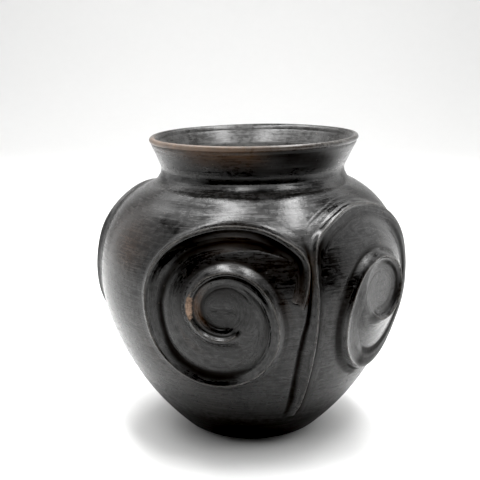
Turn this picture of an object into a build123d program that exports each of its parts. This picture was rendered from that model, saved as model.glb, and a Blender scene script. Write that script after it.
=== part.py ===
from build123d import *
import math
import os

# A hand-built black-fired jar: a flat pad of clay, a lower bowl raised on it,
# coils laid on one another and scraped thin, a flaring neck, a rolled rim, and
# applied relief: two pairs of spiral volutes, each pair hanging from one stem.
# Millimetres, +Z up, origin at the centre of the resting face, front stem on -Y.

# ---- driving dimensions ------------------------------------------------------
height = 177.6  # resting face to the highest point of the rim
foot_radius = 31.8  # flat resting face
wall_arcs = [  # outer profile as tangent arcs: radius, turn in degrees
    (14.84, 42.03),  # rounded foot
    (156.2, 30.05),  # lower bowl
    (79.84, 31.44),  # belly
    (49.55, 52.84),  # shoulder
    (8.59, -90.73),  # tight hollow at the neck
]
wall = 6.0  # clay thickness, foot to neck
lip = 4.2  # clay thickness at the rim

pad_edge = 3.0  # height of the joints on the outside, bottom to top
bowl_edge = 50.0
course_edges = [73.0, 97.0, 119.0, 137.0]
shoulder_edge = 152.0
rim_edge = 169.0
scarf_slope = 0.8  # each joint slants down towards the inside by this much

ridge_height = 3.6  # how far the lip of the spiral ridge stands off the wall
ridge_outside = 2.0  # lip width outside its crest line
ridge_inside = 1.6  # lip width inside its crest line
ledge_height = 1.7  # smoothed-down foot of the ridge, inside the lip
ledge_outside = -1.0
ledge_inside = 5.4
boss_height = 1.8  # pad under the middle of each volute
boss_radius = 25.5
boss_centre = (1.0, -1.0)
stem_width = 5.6
stem_height = 3.0
stem_low = 23.0  # lower tip of the stem
stem_high = 122.0
back_stem_high = 126.0  # the back pair is set a little higher

spiral_start = (45.58, 25.87)  # crest line of a volute, from the volute's centre
spiral_heading = 138.4
spiral_lead = 7.0  # straight run in from the stem
spiral_arcs = [
    (61.27, 66.83),
    (38.1, 67.8),
    (82.29, 12.88),
    (37.97, 100.96),
    (33.61, 124.56),
    (21.65, 82.99),
    (17.32, 139.88),
    (8.26, 65.54),
]

front_stem_azimuth = 0.0  # degrees from -Y, towards +X
back_stem_azimuth = 191.7  # the second pair is laid a little off the true back
# azimuth from its stem, height of centre, scale, hand (1 winds left of the stem)
front_left = (-31.3, 96.0, 1.00, 1)
front_right = (33.3, 98.4, 1.05, -1)
back_left = (-31.8, 100.4, 1.00, 1)
back_right = (32.4, 101.4, 1.00, -1)


# ---- wall profile ------------------------------------------------------------
def wall_curve(depth):
    """Adds the wall's arcs, moved inwards by depth, and gives the end and its direction."""
    start, direction = Vector(foot_radius, depth), Vector(1, 0)
    for radius, turn in wall_arcs:
        arc_radius = radius - depth if turn > 0 else radius + depth
        arc = JernArc(start, direction, arc_radius, turn)
        start, direction = arc @ 1, arc % 1
    return start, direction


def profile_point(level):
    """Point on the outer profile at a height, and the direction up along it."""
    x, y, heading = foot_radius, 0.0, 0.0
    for radius, turn in wall_arcs:
        side = 1 if turn > 0 else -1
        cx = x - side * radius * math.sin(heading)
        cy = y + side * radius * math.cos(heading)
        end = heading + math.radians(turn)
        top = cy - side * radius * math.cos(end)
        if top >= level:
            angle = math.acos((cy - level) * side / radius)
            return cx + side * radius * math.sin(angle), level, angle
        x, y, heading = cx + side * radius * math.sin(end), top, end
    run = (level - y) / math.sin(heading)
    return x + run * math.cos(heading), level, heading


def scarf(level):
    """Ends of the slanting joint line that leaves the outer wall at a height."""
    x, y, heading = profile_point(level)
    out = (math.sin(heading) + scarf_slope * math.cos(heading), -math.cos(heading) + scarf_slope * math.sin(heading))
    outer = (x + 5.0 * out[0], y + 5.0 * out[1])
    inner = (x - 12.0 * out[0], y - 12.0 * out[1])
    return outer, inner


neck_end = profile_point(height - 20.0)  # a point on the straight flare
flare = neck_end[2]
lip_outer = profile_point(height - lip / 2 * (1 + math.cos(flare)))[:2]  # where the rolled lip starts outside
lip_inner = (lip_outer[0] - lip * math.sin(flare), lip_outer[1] + lip * math.cos(flare))
lip_crown = (
    (lip_outer[0] + lip_inner[0]) / 2 + lip / 2 * math.cos(flare),
    (lip_outer[1] + lip_inner[1]) / 2 + lip / 2 * math.sin(flare),
)


def wall_outline():
    """Adds the whole wall's section, from the axis out and back."""
    Line((0, 0), (foot_radius, 0))
    outer_end, _ = wall_curve(0)
    Line(outer_end, lip_outer)
    ThreePointArc(lip_outer, lip_crown, lip_inner)
    inner_end, _ = wall_curve(wall)
    Line(lip_inner, inner_end)
    Line((foot_radius, wall), (0, wall))
    Line((0, wall), (0, 0))


def ring_window(low, high):
    """Adds the outline of the space between two joint lines."""
    low_outer, low_inner = scarf(low)
    high_outer, high_inner = scarf(high)
    Polyline(low_outer, high_outer, high_inner, low_inner, close=True)


os.makedirs("parts", exist_ok=True)

# ---- base pad ----------------------------------------------------------------
with BuildPart() as base_pad:
    with BuildSketch(Plane.XZ):
        with BuildLine():
            wall_outline()
        make_face()
        with BuildLine():
            edge_outer, edge_inner = scarf(pad_edge)
            Polyline((0, -5), (edge_outer[0], -5), edge_outer, edge_inner, (edge_inner[0], 12), (0, 12), close=True)
        make_face(mode=Mode.INTERSECT)
    revolve(axis=Axis.Z)
base_pad.part.label = "base_pad"
export_step(base_pad.part, "parts/base_pad.step")

# ---- lower bowl --------------------------------------------------------------
with BuildPart() as lower_bowl:
    with BuildSketch(Plane.XZ):
        with BuildLine():
            wall_outline()
        make_face()
        with BuildLine():
            low_outer, low_inner = scarf(pad_edge)
            high_outer, high_inner = scarf(bowl_edge)
            Polyline(low_outer, (95, 8), high_outer, high_inner, (40, 30), (low_inner[0], 12), low_inner, close=True)
        make_face(mode=Mode.INTERSECT)
    revolve(axis=Axis.Z)
lower_bowl.part.label = "lower_bowl"
export_step(lower_bowl.part, "parts/lower_bowl.step")

# ---- coil courses of the belly -----------------------------------------------
with BuildPart() as coil_course_1:
    with BuildSketch(Plane.XZ):
        with BuildLine():
            wall_outline()
        make_face()
        with BuildLine():
            ring_window(bowl_edge, course_edges[0])
        make_face(mode=Mode.INTERSECT)
    revolve(axis=Axis.Z)
coil_course_1.part.label = "coil_course_1"
export_step(coil_course_1.part, "parts/coil_course_1.step")

with BuildPart() as coil_course_2:
    with BuildSketch(Plane.XZ):
        with BuildLine():
            wall_outline()
        make_face()
        with BuildLine():
            ring_window(course_edges[0], course_edges[1])
        make_face(mode=Mode.INTERSECT)
    revolve(axis=Axis.Z)
coil_course_2.part.label = "coil_course_2"
export_step(coil_course_2.part, "parts/coil_course_2.step")

with BuildPart() as coil_course_3:
    with BuildSketch(Plane.XZ):
        with BuildLine():
            wall_outline()
        make_face()
        with BuildLine():
            ring_window(course_edges[1], course_edges[2])
        make_face(mode=Mode.INTERSECT)
    revolve(axis=Axis.Z)
coil_course_3.part.label = "coil_course_3"
export_step(coil_course_3.part, "parts/coil_course_3.step")

with BuildPart() as coil_course_4:
    with BuildSketch(Plane.XZ):
        with BuildLine():
            wall_outline()
        make_face()
        with BuildLine():
            ring_window(course_edges[2], course_edges[3])
        make_face(mode=Mode.INTERSECT)
    revolve(axis=Axis.Z)
coil_course_4.part.label = "coil_course_4"
export_step(coil_course_4.part, "parts/coil_course_4.step")

# ---- shoulder, neck and rim --------------------------------------------------
with BuildPart() as shoulder_course:
    with BuildSketch(Plane.XZ):
        with BuildLine():
            wall_outline()
        make_face()
        with BuildLine():
            ring_window(course_edges[3], shoulder_edge)
        make_face(mode=Mode.INTERSECT)
    revolve(axis=Axis.Z)
shoulder_course.part.label = "shoulder_course"
export_step(shoulder_course.part, "parts/shoulder_course.step")

with BuildPart() as neck_collar:
    with BuildSketch(Plane.XZ):
        with BuildLine():
            wall_outline()
        make_face()
        with BuildLine():
            ring_window(shoulder_edge, rim_edge)
        make_face(mode=Mode.INTERSECT)
    revolve(axis=Axis.Z)
neck_collar.part.label = "neck_collar"
export_step(neck_collar.part, "parts/neck_collar.step")

with BuildPart() as rim_coil:
    with BuildSketch(Plane.XZ):
        with BuildLine():
            wall_outline()
        make_face()
        with BuildLine():
            rim_outer, rim_inner = scarf(rim_edge)
            Polyline(rim_outer, (rim_outer[0], height + 6), (rim_inner[0], height + 6), rim_inner, close=True)
        make_face(mode=Mode.INTERSECT)
    revolve(axis=Axis.Z)
rim_coil.part.label = "rim_coil"
export_step(rim_coil.part, "parts/rim_coil.step")


# ---- applied relief ----------------------------------------------------------
def skin_outline(thickness):
    """Adds the section of a skin of clay lying on the belly and shoulder."""
    inner_start = (foot_radius, 0)
    start, direction = Vector(foot_radius, -thickness), Vector(1, 0)
    for radius, turn in wall_arcs[:4]:
        arc = JernArc(start, direction, radius + thickness, turn)
        start, direction = arc @ 1, arc % 1
    outer_end = start
    start, direction = Vector(foot_radius, 0), Vector(1, 0)
    for radius, turn in wall_arcs[:4]:
        arc = JernArc(start, direction, radius, turn)
        start, direction = arc @ 1, arc % 1
    Line(outer_end, start)
    Line((foot_radius, -thickness), inner_start)


def facing_plane(azimuth, level):
    """Plane through the jar's axis that faces outwards at an azimuth from -Y."""
    a = math.radians(azimuth)
    return Plane(
        origin=(0, 0, level),
        x_dir=(math.cos(a), math.sin(a), 0),
        z_dir=(math.sin(a), -math.cos(a), 0),
    )


def spiral_edge(scale, hand, side):
    """Adds one edge of the spiral band, side mm inside its crest line, and gives its two ends."""
    heading = math.radians(spiral_heading)
    direction = Vector(math.cos(heading) * hand, math.sin(heading))
    inwards = Vector(-math.sin(heading) * hand, math.cos(heading))
    crest = Vector(spiral_start[0] * scale * hand, spiral_start[1] * scale)
    first = crest - direction * spiral_lead + inwards * side
    lead = Line(first, first + direction * spiral_lead)
    start = lead @ 1
    for radius, turn in spiral_arcs:
        arc = JernArc(start, direction, radius * scale - side, turn * hand)
        start, direction = arc @ 1, arc % 1
    return first, start


def spiral_outline(scale, hand, outside, inside):
    """Adds the closed outline of a spiral band along the crest line."""
    outside_first, outside_last = spiral_edge(scale, hand, outside)
    inside_first, inside_last = spiral_edge(scale, hand, inside)
    Line(outside_first, inside_first)
    Line(outside_last, inside_last)


def boss_place(scale, hand):
    return (boss_centre[0] * scale * hand, boss_centre[1] * scale)


with BuildPart() as ridge_skin:
    with BuildSketch(Plane.XZ):
        with BuildLine():
            skin_outline(ridge_height)
        make_face()
    revolve(axis=Axis.Z)

with BuildPart() as ledge_skin:
    with BuildSketch(Plane.XZ):
        with BuildLine():
            skin_outline(ledge_height)
        make_face()
    revolve(axis=Axis.Z)

with BuildPart() as boss_skin:
    with BuildSketch(Plane.XZ):
        with BuildLine():
            skin_outline(boss_height)
        make_face()
    revolve(axis=Axis.Z)

with BuildPart() as stem_skin:
    with BuildSketch(Plane.XZ):
        with BuildLine():
            skin_outline(stem_height)
        make_face()
    revolve(axis=Axis.Z)

# ---- front pair of volutes ---------------------------------------------------
front_plane = facing_plane(front_stem_azimuth + 90, 0)  # splits the front pair down its stem

with BuildPart() as front_left_ledge:
    with BuildSketch(facing_plane(front_stem_azimuth + front_left[0], front_left[1])):
        with BuildLine():
            spiral_outline(front_left[2], front_left[3], ledge_outside, ledge_inside)
        make_face()
    extrude(amount=120)
    add(ledge_skin.part, mode=Mode.INTERSECT)

with BuildPart() as front_left_ridge:
    with BuildSketch(facing_plane(front_stem_azimuth + front_left[0], front_left[1])):
        with BuildLine():
            spiral_outline(front_left[2], front_left[3], -ridge_outside, ridge_inside)
        make_face()
    extrude(amount=120)
    add(ridge_skin.part, mode=Mode.INTERSECT)
    add(front_left_ledge.part)
    split(bisect_by=front_plane, keep=Keep.BOTTOM)
front_left_ridge.part.label = "front_left_ridge"
export_step(front_left_ridge.part, "parts/front_left_ridge.step")

with BuildPart() as front_right_ledge:
    with BuildSketch(facing_plane(front_stem_azimuth + front_right[0], front_right[1])):
        with BuildLine():
            spiral_outline(front_right[2], front_right[3], ledge_outside, ledge_inside)
        make_face()
    extrude(amount=120)
    add(ledge_skin.part, mode=Mode.INTERSECT)

with BuildPart() as front_right_ridge:
    with BuildSketch(facing_plane(front_stem_azimuth + front_right[0], front_right[1])):
        with BuildLine():
            spiral_outline(front_right[2], front_right[3], -ridge_outside, ridge_inside)
        make_face()
    extrude(amount=120)
    add(ridge_skin.part, mode=Mode.INTERSECT)
    add(front_right_ledge.part)
    split(bisect_by=front_plane, keep=Keep.TOP)
front_right_ridge.part.label = "front_right_ridge"
export_step(front_right_ridge.part, "parts/front_right_ridge.step")

with BuildPart() as front_left_boss:
    with BuildSketch(facing_plane(front_stem_azimuth + front_left[0], front_left[1])):
        with Locations(boss_place(front_left[2], front_left[3])):
            Circle(boss_radius * front_left[2])
    extrude(amount=120)
    add(boss_skin.part, mode=Mode.INTERSECT)
    add(front_left_ridge.part, mode=Mode.SUBTRACT)
front_left_boss.part.label = "front_left_boss"
export_step(front_left_boss.part, "parts/front_left_boss.step")

with BuildPart() as front_right_boss:
    with BuildSketch(facing_plane(front_stem_azimuth + front_right[0], front_right[1])):
        with Locations(boss_place(front_right[2], front_right[3])):
            Circle(boss_radius * front_right[2])
    extrude(amount=120)
    add(boss_skin.part, mode=Mode.INTERSECT)
    add(front_right_ridge.part, mode=Mode.SUBTRACT)
front_right_boss.part.label = "front_right_boss"
export_step(front_right_boss.part, "parts/front_right_boss.step")

with BuildPart() as front_stem:
    with BuildSketch(facing_plane(front_stem_azimuth, (stem_low + stem_high) / 2)):
        SlotOverall(stem_high - stem_low, stem_width, rotation=90)
    extrude(amount=120)
    add(stem_skin.part, mode=Mode.INTERSECT)
    add(front_left_ridge.part, mode=Mode.SUBTRACT)
    add(front_right_ridge.part, mode=Mode.SUBTRACT)
front_stem.part.label = "front_stem"
export_step(front_stem.part, "parts/front_stem.step")

# ---- back pair of volutes ----------------------------------------------------
back_plane = facing_plane(back_stem_azimuth + 90, 0)  # splits the back pair down its stem

with BuildPart() as back_left_ledge:
    with BuildSketch(facing_plane(back_stem_azimuth + back_left[0], back_left[1])):
        with BuildLine():
            spiral_outline(back_left[2], back_left[3], ledge_outside, ledge_inside)
        make_face()
    extrude(amount=120)
    add(ledge_skin.part, mode=Mode.INTERSECT)

with BuildPart() as back_left_ridge:
    with BuildSketch(facing_plane(back_stem_azimuth + back_left[0], back_left[1])):
        with BuildLine():
            spiral_outline(back_left[2], back_left[3], -ridge_outside, ridge_inside)
        make_face()
    extrude(amount=120)
    add(ridge_skin.part, mode=Mode.INTERSECT)
    add(back_left_ledge.part)
    split(bisect_by=back_plane, keep=Keep.BOTTOM)
back_left_ridge.part.label = "back_left_ridge"
export_step(back_left_ridge.part, "parts/back_left_ridge.step")

with BuildPart() as back_right_ledge:
    with BuildSketch(facing_plane(back_stem_azimuth + back_right[0], back_right[1])):
        with BuildLine():
            spiral_outline(back_right[2], back_right[3], ledge_outside, ledge_inside)
        make_face()
    extrude(amount=120)
    add(ledge_skin.part, mode=Mode.INTERSECT)

with BuildPart() as back_right_ridge:
    with BuildSketch(facing_plane(back_stem_azimuth + back_right[0], back_right[1])):
        with BuildLine():
            spiral_outline(back_right[2], back_right[3], -ridge_outside, ridge_inside)
        make_face()
    extrude(amount=120)
    add(ridge_skin.part, mode=Mode.INTERSECT)
    add(back_right_ledge.part)
    split(bisect_by=back_plane, keep=Keep.TOP)
back_right_ridge.part.label = "back_right_ridge"
export_step(back_right_ridge.part, "parts/back_right_ridge.step")

with BuildPart() as back_left_boss:
    with BuildSketch(facing_plane(back_stem_azimuth + back_left[0], back_left[1])):
        with Locations(boss_place(back_left[2], back_left[3])):
            Circle(boss_radius * back_left[2])
    extrude(amount=120)
    add(boss_skin.part, mode=Mode.INTERSECT)
    add(back_left_ridge.part, mode=Mode.SUBTRACT)
back_left_boss.part.label = "back_left_boss"
export_step(back_left_boss.part, "parts/back_left_boss.step")

with BuildPart() as back_right_boss:
    with BuildSketch(facing_plane(back_stem_azimuth + back_right[0], back_right[1])):
        with Locations(boss_place(back_right[2], back_right[3])):
            Circle(boss_radius * back_right[2])
    extrude(amount=120)
    add(boss_skin.part, mode=Mode.INTERSECT)
    add(back_right_ridge.part, mode=Mode.SUBTRACT)
back_right_boss.part.label = "back_right_boss"
export_step(back_right_boss.part, "parts/back_right_boss.step")

with BuildPart() as back_stem:
    with BuildSketch(facing_plane(back_stem_azimuth, (stem_low + back_stem_high) / 2)):
        SlotOverall(back_stem_high - stem_low, stem_width, rotation=90)
    extrude(amount=120)
    add(stem_skin.part, mode=Mode.INTERSECT)
    add(back_left_ridge.part, mode=Mode.SUBTRACT)
    add(back_right_ridge.part, mode=Mode.SUBTRACT)
back_stem.part.label = "back_stem"
export_step(back_stem.part, "parts/back_stem.step")
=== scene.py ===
import math

import bpy
import numpy as np
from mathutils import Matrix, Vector


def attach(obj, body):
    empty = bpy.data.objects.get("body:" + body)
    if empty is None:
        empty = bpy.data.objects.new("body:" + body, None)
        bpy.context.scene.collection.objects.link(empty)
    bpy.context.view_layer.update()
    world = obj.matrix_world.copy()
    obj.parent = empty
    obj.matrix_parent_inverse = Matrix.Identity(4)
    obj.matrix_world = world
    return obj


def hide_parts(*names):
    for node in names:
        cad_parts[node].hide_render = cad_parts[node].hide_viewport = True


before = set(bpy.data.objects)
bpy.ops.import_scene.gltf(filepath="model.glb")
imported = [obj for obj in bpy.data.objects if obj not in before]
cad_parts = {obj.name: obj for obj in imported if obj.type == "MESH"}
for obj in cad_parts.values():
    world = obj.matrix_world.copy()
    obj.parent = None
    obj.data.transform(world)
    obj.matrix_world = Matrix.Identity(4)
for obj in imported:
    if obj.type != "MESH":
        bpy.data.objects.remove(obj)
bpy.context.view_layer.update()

MM = 0.001
TAU = 2.0 * math.pi

# ------------------------------------------------------------------ the wall
# Outer profile of the jar as tangent arcs (radius mm, turn in degrees).
FOOT = 31.8
ARCS = [(14.84, 42.03), (156.2, 30.05), (79.84, 31.44), (49.55, 52.84), (8.59, -90.73)]
WALL = 6.0
LIP = 3.2
TOP = 175.7

CAM_AZ = math.radians(-20.3)
CAM_RIGHT = (math.cos(CAM_AZ), math.sin(CAM_AZ))
CAM_AWAY = (-math.sin(CAM_AZ), math.cos(CAM_AZ))


def build_profile():
    pts = [(r, 0.0) for r in np.arange(0.0, FOOT, 0.1)]
    x, y, a = FOOT, 0.0, 0.0
    for radius, turn in ARCS:
        side = 1.0 if turn > 0 else -1.0
        cx, cy = x - side * radius * math.sin(a), y + side * radius * math.cos(a)
        n = max(8, int(radius * math.radians(abs(turn)) / 0.1))
        for k in range(n):
            b = a + math.radians(turn) * k / n
            pts.append((cx + side * radius * math.sin(b), cy - side * radius * math.cos(b)))
        a += math.radians(turn)
        x, y = cx + side * radius * math.sin(a), cy - side * radius * math.cos(a)
    lip_z = TOP - LIP / 2 * (1 + math.cos(a))
    run = (lip_z - y) / math.sin(a)
    for d in np.arange(0.0, run, 0.1):
        pts.append((x + d * math.cos(a), y + d * math.sin(a)))
    pts.append((x + run * math.cos(a), y + run * math.sin(a)))
    pts = np.array(pts)
    t = np.concatenate([[0.0], np.cumsum(np.hypot(*np.diff(pts, axis=0).T))])
    tt = np.linspace(0, t[-1], int(t[-1] / 0.05) + 1)
    return tt, np.interp(tt, t, pts[:, 0]), np.interp(tt, t, pts[:, 1])


PT, PR, PZ = build_profile()
T_END = PT[-1]


def t_of_z(z):
    first = int(FOOT / (PT[1] - PT[0])) + 2
    return np.interp(z, PZ[first:], PT[first:])


def ramp(x, a, b):
    k = np.clip((x - a) / (b - a), 0, 1)
    return k * k * (3 - 2 * k)


def mix(a, b, k):
    return a + (b - a) * k


def bump(t, centre, width, size):
    return size * np.exp(-(((t - centre) / width) ** 2))


# Corrections along the profile: a soft ring where the shoulder ends, a crease at the foot of the
# neck, and a fine groove under the lip.
_lean = np.degrees(np.arctan2(-np.gradient(PR, PT), np.gradient(PZ, PT)))
_throat = PZ > 150.0


def t_of_lean(e):
    """Where, from the shoulder up into the neck, the wall leans back by e degrees."""
    return float(np.interp(-e, -_lean[_throat], PT[_throat]))


T_RING = t_of_lean(20.0)
T_NECK = t_of_lean(-9.0)
RING = ramp(PT, T_RING - 4.0, T_RING - 1.0) - ramp(PT, T_RING - 1.0, T_RING + 1.0)
DELTA = (
    0.15 * RING
    - 0.14 * (ramp(PT, T_NECK - 3.0, T_NECK - 0.2) - ramp(PT, T_NECK - 0.2, T_NECK + 1.4))
    + 0.2 * np.clip((PT - (T_END - 9.0)) / 9.0, 0, 1) ** 2
    + bump(PT, T_END - 1.0, 0.5, -0.30)
    + bump(PT, T_END - 2.6, 0.8, 0.08)
)
_tr = np.gradient(PR, PT)
_tz = np.gradient(PZ, PT)
_n = np.hypot(_tr, _tz)
QR, QZ = PR + DELTA * _tz / _n, PZ - DELTA * _tr / _n
_k = np.ones(15) / 15.0
_tr = np.convolve(np.pad(np.gradient(QR, PT), 7, mode="edge"), _k, mode="valid")
_tz = np.convolve(np.pad(np.gradient(QZ, PT), 7, mode="edge"), _k, mode="valid")
_n = np.hypot(_tr, _tz)
NR, NZ = _tz / _n, -_tr / _n


def prof(t):
    return np.interp(t, PT, QR), np.interp(t, PT, QZ), np.interp(t, PT, NR), np.interp(t, PT, NZ)


def thick(t):
    return WALL + (LIP - WALL) * np.clip((t - T_END + 12.0) / 12.0, 0, 1)


rng = np.random.default_rng(7)
WAVES = [
    (int(rng.integers(1, 7)), rng.uniform(0.010, 0.055), rng.uniform(0, TAU), rng.uniform(0, TAU), rng.uniform(0.5, 1.0))
    for _ in range(14)
]


def undulate(t, phi):
    """Slow unevenness of a wall built and scraped by hand, in mm."""
    h = 0.0
    for m, f, p, q, s in WAVES:
        h = h + s * np.cos(m * phi + p) * np.cos(f * t + q)
    uneven = 0.5 + 0.3 * np.sin(5 * phi + 0.6) + 0.2 * np.sin(13 * phi + 2.0)
    return (0.075 * h - 0.12) * ramp(t, 34.0, 48.0) + 0.14 * uneven * np.interp(t, PT, RING)


def fillet(t, phi):
    """Clay left in the bend between shoulder and neck along the front of the jar, in mm."""
    a = np.degrees(np.mod(phi - CAM_AZ + math.pi, TAU) - math.pi)
    size = 1.4 + 0.10 * np.sin(6 * phi + 0.8) + 0.06 * np.sin(17 * phi)
    return size * (1 - ramp(np.abs(a), 50, 80)) * (ramp(t, 201.0, 213.2) - ramp(t, 216.0, 223.0))


def place(t, phi, h):
    """Point of the jar at profile length t, azimuth phi from -Y, h mm off the wall."""
    t, phi, h = np.broadcast_arrays(np.asarray(t, float), np.asarray(phi, float), np.asarray(h, float))
    r, z, nr, nz = prof(t)
    r = r + h * nr
    z = z + h * nz
    x, y = r * np.sin(phi), -r * np.cos(phi)
    right = x * CAM_RIGHT[0] + y * CAM_RIGHT[1]
    away = x * CAM_AWAY[0] + y * CAM_AWAY[1]
    # the upper half leans a little, and the neck stands slightly off centre
    z2 = z + right * math.tan(math.radians(1.1)) * ramp(z, 95.0, 155.0) - away * 0.011 * ramp(z, 138.0, 168.0)
    off = 1.3 * ramp(z, 138.0, 170.0)
    return np.stack([x + off * CAM_RIGHT[0], y + off * CAM_RIGHT[1], z2], axis=-1)


# ------------------------------------------------------------------ the volutes
SPIRAL_START = (45.58, 25.87)
SPIRAL_HEADING = 138.4
SPIRAL_ARCS = [
    (61.27, 66.83),
    (38.1, 67.8),
    (82.29, 12.88),
    (37.97, 100.96),
    (33.61, 124.56),
    (21.65, 82.99),
    (17.32, 139.88),
    (8.26, 65.54),
]
BACK = 191.7
# name, stem azimuth, azimuth from the stem, height of centre, scale, hand, lift of its junction
VOLUTES = [
    ("front_left", 0.0, -31.3, 96.0, 1.00, 1, 0.0),
    ("front_right", 0.0, 33.3, 98.4, 1.05, -1, 0.0),
    ("back_left", BACK, -31.8, 100.4, 1.00, 1, 3.6),
    ("back_right", BACK, 32.4, 101.4, 1.00, -1, 3.6),
]
BOSS_CENTRE = (1.0, -1.0)
CREST_LIFT = 3.3
# strength of the relief along each ridge: turn in degrees, factor
STRENGTH = {
    "front_left": ([0, 700], [1.0, 1.0]),
    "front_right": ([0, 60, 105, 145, 195, 245, 300, 700], [1.0, 1.0, 0.90, 0.74, 0.74, 0.88, 1.0, 0.96]),
    "back_left": ([0, 120, 180, 240, 700], [1.0, 1.0, 0.9, 1.0, 1.0]),
    "back_right": ([0, 100, 140, 185, 240, 700], [1.05, 1.05, 0.95, 0.72, 0.9, 1.0]),
}


def spiral_uv(step=0.25):
    x, y = SPIRAL_START
    a = math.radians(SPIRAL_HEADING)
    out, turn_out = [], []
    turned = 0.0
    for radius, turn in SPIRAL_ARCS:
        cx, cy = x - radius * math.sin(a), y + radius * math.cos(a)
        n = int(radius * math.radians(turn) / step)
        for k in range(n):
            b = a + math.radians(turn) * k / n
            out.append((cx + radius * math.sin(b), cy - radius * math.cos(b)))
            turn_out.append(turned + turn * k / n)
        a += math.radians(turn)
        turned += turn
        x, y = cx + radius * math.sin(a), cy - radius * math.cos(a)
    out.append((x, y))
    turn_out.append(turned)
    return np.array(out), np.array(turn_out)


UV, TURN = spiral_uv()
_band = (PT > FOOT + 8) & (PZ < 156.0)
BAND = PT[_band][::4], PR[_band][::4], PZ[_band][::4]


def foot_t(z):
    """Foot on the wall of a crest point seen at height z."""
    z = np.asarray(z, float)
    z1 = z.ravel()
    r1 = np.interp(t_of_z(z1), PT, PR) + CREST_LIFT
    bt, br, bz = BAND
    t = np.empty(len(z1))
    for i in range(0, len(z1), 2000):
        d = (br[None, :] - r1[i : i + 2000, None]) ** 2 + (bz[None, :] - z1[i : i + 2000, None]) ** 2
        t[i : i + 2000] = bt[np.argmin(d, axis=1)]
    return t.reshape(z.shape)


def uv_to_surface(u, v, azimuth, centre_z):
    """Foot on the wall, as t and phi, of a point seen square-on at a volute's centre."""
    z = centre_z + v
    r = np.interp(t_of_z(z), PT, PR) + CREST_LIFT
    return foot_t(z), azimuth + np.arcsin(np.clip(u / r, -0.98, 0.98))


def smooth(a, n):
    k = np.hanning(2 * n + 3)[1:-1]
    return np.convolve(np.pad(a, n, mode="edge"), k / k.sum(), mode="valid")


def resample(t, phi, extra, step):
    r = np.interp(t, PT, PR)
    d = np.concatenate([[0.0], np.cumsum(np.hypot(np.diff(t), 0.5 * (r[1:] + r[:-1]) * np.diff(phi)))])
    s = np.linspace(0, d[-1], int(d[-1] / step) + 1)
    return s, np.interp(s, d, t), np.interp(s, d, phi), [np.interp(s, d, e) for e in extra]


# Way of the crest up the stem and over into a volute: height, degrees from the stem's azimuth.
RIGHT_LEAD = [
    (20.5, 2.3), (30.0, 2.15), (37.0, 2.0), (46.0, 1.85), (56.0, 1.65), (72.0, 1.45), (90.0, 1.38), (98.4, 1.38),
    (106.5, 1.1), (113.2, 0.9), (119.6, 1.1), (125.3, 2.03), (128.6, 3.0), (131.2, 4.3), (133.6, 6.6), (135.6, 9.57),
    (137.8, 13.57), (139.8, 18.04),
]
LEFT_LEAD = [
    (86.0, -4.8), (90.0, -4.2), (94.0, -3.6), (98.0, -2.95), (102.0, -2.35), (106.0, -1.9), (110.0, -1.62), (115.0, -1.4), (118.5, -1.5),
    (121.7, -2.3), (125.0, -3.9), (128.6, -7.04), (131.5, -10.34), (133.6, -13.4),
]
# the stem's groove lies closer to its crest at both ends: height, narrowing
STEM_Z = [28.0, 32.0, 42.0, 55.0, 70.0, 80.0, 86.0, 92.0, 98.0, 104.0, 110.0, 116.0]
STEM_K = [1.7, 1.65, 1.42, 1.27, 1.27, 1.45, 1.8, 2.2, 2.5, 2.9, 3.6, 4.0]

volutes = {}
for name, stem, offset, centre_z, scale, hand, lift in VOLUTES:
    az = math.radians(stem + offset)
    drawn_in = {"front_left": 1.2, "front_right": 2.6}.get(name, 0.0) * ramp(TURN, 215, 262) * (1 - ramp(TURN, 325, 375))
    sunk = {"front_right": 3.0}.get(name, 0.0) * ramp(TURN, 300, 350) * (1 - ramp(TURN, 420, 500))
    t, phi = uv_to_surface((UV[:, 0] - drawn_in) * scale * hand, (UV[:, 1] - sunk) * scale, az, centre_z)
    stem_phi = math.radians(stem)
    turn = TURN.copy()
    away = (stem_phi - phi) * hand
    lead = np.array(RIGHT_LEAD if hand < 0 else LEFT_LEAD)
    join = 21.5 if hand < 0 else 16.5
    keep = away > math.radians(join)
    keep[int(len(keep) * 0.2):] = True
    first = turn[keep][0]
    lead_z = lead[:, 0] + lift * ramp(lead[:, 0], 60.0, 110.0)
    if hand < 0:
        lead_turn = np.interp(lead[:, 0], [20.5, 111.0, 139.8], [-40.0, -10.0, first - 2.0])
    else:
        lead_turn = np.interp(lead[:, 0], [97.0, 118.5, 133.6], [-30.0, -12.0, first - 2.0])
    t = np.concatenate([foot_t(lead_z), t[keep]])
    phi = np.concatenate([stem_phi + np.radians(lead[:, 1]), phi[keep]])
    turn = np.concatenate([lead_turn, turn[keep]])
    s, t, phi, (turn,) = resample(t, phi, [turn], 0.3)
    t, phi, turn = smooth(t, 11), smooth(phi, 11), smooth(turn, 11)
    s, t, phi, (turn,) = resample(t, phi, [turn], 0.7)
    volutes[name] = dict(
        name=name, az=az, stem=stem_phi, zc=centre_z, scale=scale, hand=hand, lift=lift, s=s, t=t, phi=phi, turn=turn,
        z=np.interp(t, PT, PZ) - lift * ramp(np.interp(t, PT, PZ), 60.0, 113.0),
    )


def across(path, w):
    """t and phi of points w mm to the inner side of a path's crest line."""
    t, phi, hand = path["t"], path["phi"], path["hand"]
    r = np.interp(t, PT, PR)
    dt, dp = np.gradient(t), np.gradient(phi) * r
    n = np.hypot(dt, dp)
    bt, bp = dp / n * hand, -dt / n * hand
    tt = t[:, None] + bt[:, None] * w
    rr = np.interp(0.5 * (t[:, None] + tt), PT, PR)
    return tt, phi[:, None] + bp[:, None] * w / rr


# Cross-sections of the relief: distance across the ridge (+ towards the middle of the
# volute) and height off the wall, in mm.
W_AXIS = np.arange(-19.0, 19.001, 0.05)


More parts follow.
